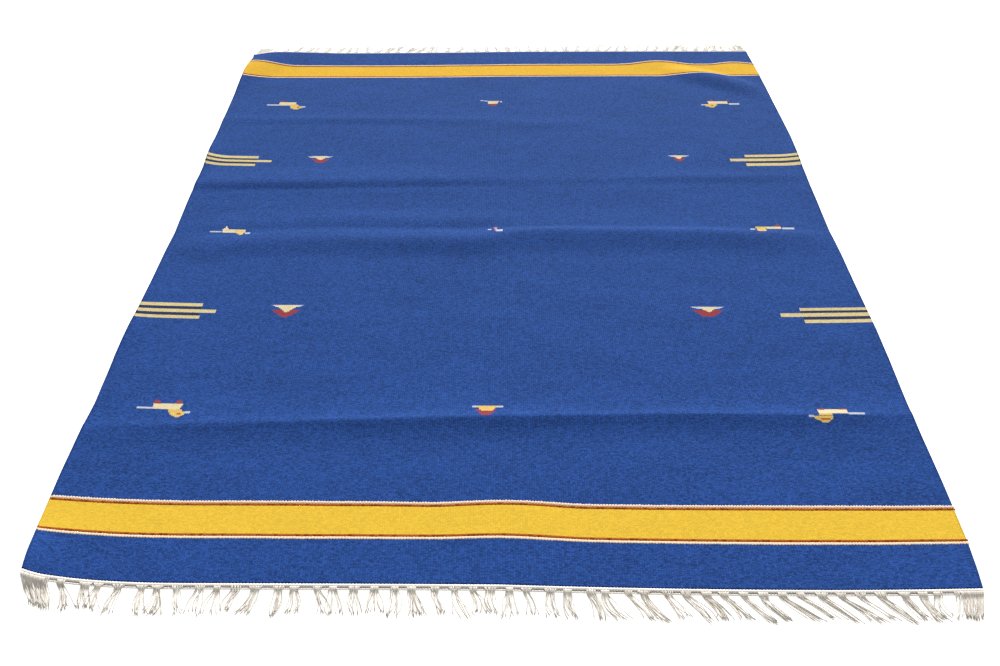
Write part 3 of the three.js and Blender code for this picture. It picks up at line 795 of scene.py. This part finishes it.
def makeSelvedge(side):
    reach = halfLong - selvedge["short"]
    stations = np.linspace(-reach, reach, int(cloth["long"] / selvedge["turn"] * selvedge["stationsPerTurn"]))
    x, y = lieOf(side * halfWide, stations)
    swell = selvedge["swell"] * np.sin(stations * 2 * np.pi / selvedge["turn"])
    radius = selvedge["radius"] * (1 + swell)
    high = liftAt(x, y) + cloth["thick"] / 2 + selvedge["raised"]
    path = np.stack([x - side * selvedge["inset"], y, high], -1)
    turn = np.arange(selvedge["sides"]) / selvedge["sides"]
    weaveAcross = (halfWide + turn * selvedge["weaveRound"]) * mm
    uvs = np.stack(np.broadcast_arrays(weaveAcross[None, :], stations[:, None] * mm), -1)
    pile = newPile()
    paints = yarnAt(np.full_like(stations, side * (halfWide - strip)), stations)
    addCord(pile, path, radius, selvedge["sides"], paints, uvs)
    return finishPile(pile, "selvedgeLeft" if side < 0 else "selvedgeRight", woolMaterials, None)


# Border lines of the bands: slanting twined stitches that stand proud of the weave
borders = {
    "sides": 6, "flat": 0.08, "profile": (0.35, 0.86, 1, 0.86, 0.35), "end": 3,
    "raised": 0.06, "arch": 0.15, "archFrom": 0.6,
    "longVary": (0.9, 1.06), "wideVary": (0.9, 1.08), "stray": 0.3,
    "rows": [
        {"yarns": ("peach",), "inward": -1.7, "wide": 6.0, "pitch": 4.6, "long": 4.9, "slant": 0.7},
        {"yarns": ("rust", "rust", "bark"), "inward": 3.8, "wide": 5.2, "pitch": 6.6, "long": 6.4,
         "slant": 0.4},
    ],
}


def addStitch(pile, line, start, along):
    profile = np.array(borders["profile"])
    share = np.linspace(-1, 1, len(profile))
    paint = yarnNames.index(random.choice(line["yarns"]))
    reach = line["long"] * random.uniform(*borders["longVary"]) / 2
    across = start + line["pitch"] / 2 + share * reach
    stray = random.uniform(-borders["stray"], borders["stray"])
    x, y = lieOf(across, along + share * line["slant"] + stray)
    high = topAt(x, y) + borders["raised"] + borders["arch"] * (profile - borders["archFrom"])
    radius = line["wide"] / 2 * profile * random.uniform(*borders["wideVary"])
    addCord(pile, np.stack([x, y, high], -1), radius, borders["sides"], paint, flat=borders["flat"])


def makeBorders():
    pile = newPile()
    reach = halfWide - borders["end"]
    for band in bands:
        for edge, inward in ((band["near"], 1), (band["far"], -1)):
            for line in borders["rows"]:
                for start in np.arange(-reach, reach, line["pitch"]):
                    addStitch(pile, line, start, edge + inward * line["inward"])
    return finishPile(pile, "bandBorders", woolMaterials, None)


selvedgePieces = [makeSelvedge(-1), makeSelvedge(1)]
borderPiece = makeBorders()

# Heading at each end: a scalloped cord against the blue, a gap, a thin cord, and the warps over them. The
# base in the gap is painted grey as painted shade between the cords
heading = {
    "gap": 0.3, "deep": 13, "cords": [
        {"out": 3.0, "radius": 3.0, "swell": 0.34, "pitch": 4.8, "high": 2.9},
        {"out": 9.0, "radius": 1.7, "swell": 0.3, "pitch": 4.2, "high": 1.9},
    ],
    "base": {"from": 0.5, "to": 10.0, "thick": 1.5, "raised": 0.2, "everyStation": 6, "sides": 6},
    "station": 1.2, "sides": 8, "flat": 0.5, "short": 1, "swellMiddle": 0.6,
}
# The fringe: bundles of yarns, each with its widths at root, neck and tip, its length, bend and lean
# The share of yarns in grey cotton stands partly for greyer yarns, partly for painted shade between strands
fringe = {
    "bundles": 50, "inset": 8, "yarns": (6, 7, 8, 9, 10, 12), "dull": 0.35,
    "rootWide": (9, 21), "neckWide": (9, 14), "tipWide": (10, 26), "shortest": 41, "longest": 50,
    "bend": 4, "jitter": 5, "sway": 6, "stray": 6, "edge": 1.5, "placeVary": (0.2, 0.8),
    "corner": {"inset": 19, "yarns": 30, "rootWide": 36, "neckWide": 33, "tipWide": 25, "long": 45,
               "dull": 0.5, "stray": 2, "bend": 0},
}
# One yarn: it starts under the first cord, climbs over both cords and comes down to the floor.
# Its radius follows the share of its free length, and its height over the cords how far out it is
fringeYarn = {
    "radius": 0.95, "radiusVary": (0.85, 1.1), "sides": 5, "above": 0.02,
    "radiusShare": (0, 0.8, 0.92, 1), "radiusLevel": (1, 0.9, 1.25, 0.7),
    "overOut": (4.4, 6.4, 9.4, 12.6, 20), "overHigh": (2.9, 3.6, 4.3, 2.8, 0.0), "neckOut": (5.5, 12.6),
    "foldOut": (0, 12, 26), "foldLevel": (1, 1, 0),
    "crossing": 12.5, "freeFrom": 0.12, "freeStations": 8, "reachVary": (0.8, 1.0), "leanAt": 44,
    "curl": 4, "wobble": (0.3, 1.3), "wobbleWaves": (4, 9), "wobbleStart": (0, 6),
    "pileUp": (0, 0, 1.3, 2.2), "pileRise": 3, "pileFall": 0.6,
}
hair = {"count": 3, "drift": 1.6, "long": (2.0, 4.5), "driftAt": 4, "overlap": 0.8, "steps": (0, 0.5, 1),
        "radii": (0.36, 0.3, 0.16), "sides": 3, "lowest": 0.4}
# How far sideways a bundle's tip lies from its root
nearLean = {
    "across": [-700, -640, -600, -549, -528, -494, -440, -385, -350, -318, -262, -165, -60, -5, 120, 165, 230,
               370, 450, 520, 590, 630, 660, 700],
    "lean": [22, 16, 8, -8, 4, 9, 0, -10, -17, 2, 15, 0, 18, 3, 6, 30, 20, 36, 41, 39, 20, -2, -10, -13],
}
farLean = {
    "across": [-700, -420, -260, 0, 240, 480, 700],
    "lean": [8, 2, 16, -6, 9, 14, -4],
}


# A place out from the cloth's near (-1) or far (1) end
def outFrom(across, end, out):
    x, y = lieOf(across, np.full_like(across, end * halfLong))
    return x, y + end * (heading["gap"] + out)


def makeHeading(end):
    pile = newPile()
    reach = halfWide - heading["short"]
    stations = np.linspace(-reach, reach, int(cloth["wide"] / heading["station"]))
    for cord in heading["cords"]:
        x, y = outFrom(stations, end, cord["out"])
        swelling = np.abs(np.sin(stations * np.pi / cord["pitch"])) - heading["swellMiddle"]
        radius = cord["radius"] * (1 + cord["swell"] * swelling)
        path = np.stack([x, y, liftAt(x, y) + cord["high"]], -1)
        addCord(pile, path, radius, heading["sides"], 0, flat=heading["flat"])
    base = heading["base"]
    baseWide = base["to"] - base["from"]
    x, y = outFrom(stations[::base["everyStation"]], end, (base["from"] + base["to"]) / 2)
    path = np.stack([x, y, liftAt(x, y) + base["raised"] + base["thick"] / 2], -1)
    # The base takes the grey cotton: painted shade in the gap between the two cords
    addCord(pile, path, baseWide / 2, base["sides"], 1, flat=base["thick"] / baseWide)
    name = "headingNear" if end < 0 else "headingFar"
    return finishPile(pile, name, [headingCotton, cottonGreyAndShade], None)


# The way of one yarn: from under the first cord, down to the floor, then along it with its own lean and curl
def yarnPath(end, root, place, bundle):
    reach = bundle["long"] * random.uniform(*fringeYarn["reachVary"])
    free = fringeYarn["crossing"] + reach * np.linspace(fringeYarn["freeFrom"], 1, fringeYarn["freeStations"])
    out = np.concatenate([fringeYarn["overOut"][:-1], free])
    share = np.clip((out - heading["deep"]) / reach, 0, 1)
    neck = np.interp(out, fringeYarn["neckOut"], [bundle["rootWide"], bundle["neckWide"]])
    spread = neck * (1 - share) + bundle["tipWide"] * share
    lean = bundle["lean"] * reach / fringeYarn["leanAt"] + random.uniform(-1, 1) * bundle["stray"]
    curl = random.uniform(-1, 1) * fringeYarn["curl"]
    wobble = random.uniform(*fringeYarn["wobble"])
    waves = random.uniform(*fringeYarn["wobbleWaves"])
    wobble = wobble * share * np.sin(share * waves + random.uniform(*fringeYarn["wobbleStart"]))
    sideways = lean * share + (bundle["bend"] + curl) * np.sin(share * np.pi) + wobble
    x, y = outFrom(np.full_like(out, root), end, out)
    x = x + (spread - bundle["rootWide"]) * place + sideways
    piled = np.clip(share * fringeYarn["pileRise"], 0, 1) * (1 - fringeYarn["pileFall"] * share)
    lying = fringeYarn["radius"] + random.choice(fringeYarn["pileUp"]) * piled
    raised = liftAt(x, y) * np.interp(out, fringeYarn["foldOut"], fringeYarn["foldLevel"])
    raised = raised + np.interp(out, fringeYarn["overOut"], fringeYarn["overHigh"])
    return np.stack([x, y, np.maximum(lying, raised)], -1), share


# Frayed ends at a yarn's tip
def addHairs(pile, path, paint):
    ahead = (path[-1] - path[-3]) / np.linalg.norm(path[-1] - path[-3])
    for _ in range(hair["count"]):
        drift = np.array([random.uniform(-hair["drift"], hair["drift"]), 0, 0])
        steps = np.array(hair["steps"])[:, None] * random.uniform(*hair["long"])
        strand = path[-1] - ahead * hair["overlap"] + ahead * steps + drift * (steps / hair["driftAt"]) ** 2
        strand[:, 2] = np.maximum(strand[:, 2], hair["lowest"])
        addCord(pile, strand, np.array(hair["radii"]), hair["sides"], paint)


def makeBundle(k, leanTable):
    pitch = (cloth["wide"] - 2 * fringe["inset"]) / (fringe["bundles"] - 1)
    centre = -halfWide + fringe["inset"] + k * pitch
    bundle = {name: random.uniform(*fringe[name]) for name in ("rootWide", "neckWide", "tipWide")}
    bundle["long"] = random.uniform(fringe["shortest"], fringe["longest"])
    bundle["yarns"] = random.choice(fringe["yarns"])
    bundle["bend"] = random.uniform(-fringe["bend"], fringe["bend"])
    bundle.update(stray=fringe["stray"], dull=fringe["dull"])
    sway = random.uniform(-1, 1) * fringe["sway"]
    centre += random.uniform(-1, 1) * fringe["jitter"]
    if k in (0, fringe["bundles"] - 1):
        bundle.update(fringe["corner"])
        centre = math.copysign(halfWide - fringe["corner"]["inset"], centre)
        sway = 0
    bundle["centre"] = centre
    bundle["lean"] = np.interp(centre, leanTable["across"], leanTable["lean"]) + sway
    return bundle


def makeFringe(end, leanTable):
    pile = newPile()
    edge = halfWide - fringe["edge"]
    for k in range(fringe["bundles"]):
        bundle = makeBundle(k, leanTable)
        for n in range(bundle["yarns"]):
            place = (n + random.uniform(*fringe["placeVary"])) / bundle["yarns"] - 0.5
            root = np.clip(bundle["centre"] + place * bundle["rootWide"], -edge, edge)
            path, share = yarnPath(end, root, place, bundle)
            # Some yarns take the grey cotton: partly greyer yarns, partly painted shade between strands
            paint = int(random.random() < bundle["dull"])
            radius = fringeYarn["radius"] * random.uniform(*fringeYarn["radiusVary"])
            radius = radius * np.interp(share, fringeYarn["radiusShare"], fringeYarn["radiusLevel"])
            path[:, 2] = np.maximum(path[:, 2], radius + fringeYarn["above"])
            addCord(pile, path, radius, fringeYarn["sides"], paint)
            addHairs(pile, path, paint)
    return finishPile(pile, "fringeYarnsNear" if end < 0 else "fringeYarnsFar", [fringeCotton, cottonGreyAndShade],
                      "fringe_near" if end < 0 else "fringe_far")


headingPieces = [makeHeading(-1), makeHeading(1)]
fringePieces = [makeFringe(-1, nearLean), makeFringe(1, farLean)]

print("done")
